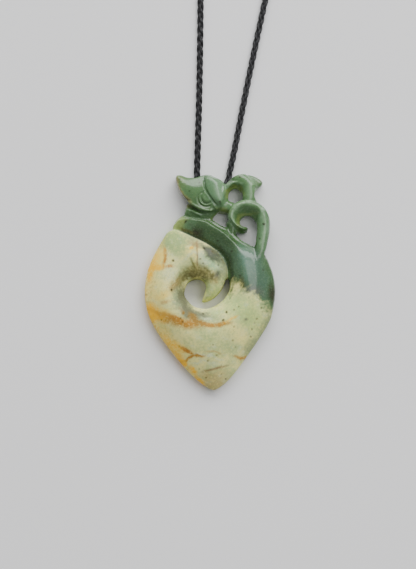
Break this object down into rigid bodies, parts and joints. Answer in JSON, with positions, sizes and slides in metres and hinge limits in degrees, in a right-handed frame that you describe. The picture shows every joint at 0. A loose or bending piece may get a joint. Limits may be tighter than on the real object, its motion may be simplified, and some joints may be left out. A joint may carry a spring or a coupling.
{
  "type": "hook pendant necklace",
  "caption": "Carved green stone fish-hook pendant with a bird's head, a curled frond and a tail fluke, on a black plaited cord tied into a loop with a knot.",
  "frame": {"origin": "middle of the carved stone's flat back, on the hook's tongue", "axes": "+X across the stone towards the frond, +Y along it towards the bird's head and the cord, +Z out of its front"},
  "size_m": [0.1064, 0.3284, 0.0076],
  "materials": {
    "stone": "highly polished",
    "cord": "waxed plait"
  },
  "bodies": {
    "root": {"carved_stone": "stone", "plaited_cord": "cord", "closing_knot": "cord"}
  },
  "joints": []
}
